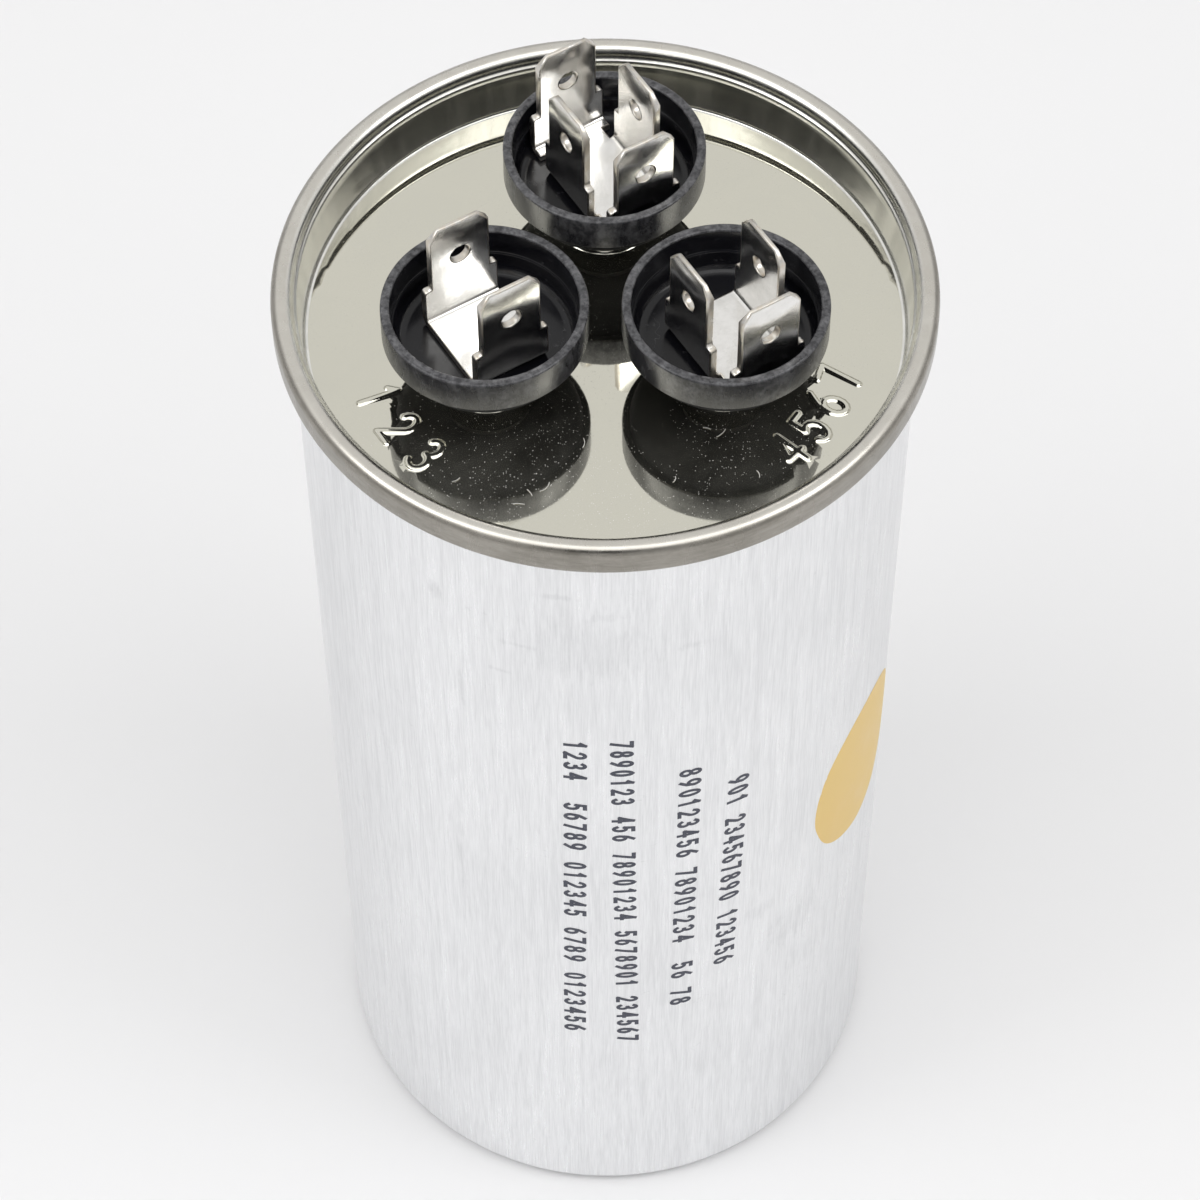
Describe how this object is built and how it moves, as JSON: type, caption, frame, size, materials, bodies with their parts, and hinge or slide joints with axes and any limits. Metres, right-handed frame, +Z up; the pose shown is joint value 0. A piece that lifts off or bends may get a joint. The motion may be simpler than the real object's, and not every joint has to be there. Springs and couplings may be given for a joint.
{
  "type": "motor run capacitor",
  "caption": "Round motor run capacitor: drawn aluminium can with a seamed lid and folded quick-connect terminals standing in moulded insulating cups.",
  "frame": {"origin": "centre of the can's base, on the surface it stands on", "axes": "+Z up along the can's axis; +Y towards the common terminal's post, with the fan post at front left (-X) and the hermetic post at front right (+X)"},
  "size_m": [0.0636, 0.0636, 0.1389],
  "materials": {
    "drawn_can": "brushed",
    "tinplate": "polished",
    "cup_plastic": "satin",
    "tinned_blade": "satin",
    "rivet_steel": "satin",
    "seal_rubber": "matte",
    "washer_plastic": "matte",
    "contact_brass": "satin",
    "lead_copper": "satin",
    "disc_board": "matte",
    "liner_board": "matte",
    "core_plastic": "matte",
    "film_roll": "satin",
    "barrier_film": "satin",
    "end_spray": "rough"
  },
  "bodies": {
    "root": {"can": "drawn_can", "lid": "tinplate", "cup_common": "cup_plastic", "cup_herm": "cup_plastic", "cup_fan": "cup_plastic", "terminal_common": "tinned_blade", "terminal_herm": "tinned_blade", "terminal_fan": "tinned_blade", "rivet_common": "rivet_steel", "rivet_herm": "rivet_steel", "rivet_fan": "rivet_steel", "gasket_common": "seal_rubber", "gasket_herm": "seal_rubber", "gasket_fan": "seal_rubber", "washer_common": "washer_plastic", "washer_herm": "washer_plastic", "washer_fan": "washer_plastic", "tab_common": "contact_brass", "tab_herm": "contact_brass", "tab_fan": "contact_brass", "lead_common": "lead_copper", "lead_herm": "lead_copper", "lead_fan": "lead_copper", "safety_disc": "disc_board", "liner": "liner_board", "bottom_pad": "liner_board", "core_tube": "core_plastic", "fan_winding": "film_roll", "section_barrier": "barrier_film", "herm_winding": "film_roll", "spray_common": "end_spray", "spray_fan": "end_spray", "spray_herm": "end_spray"}
  },
  "joints": []
}
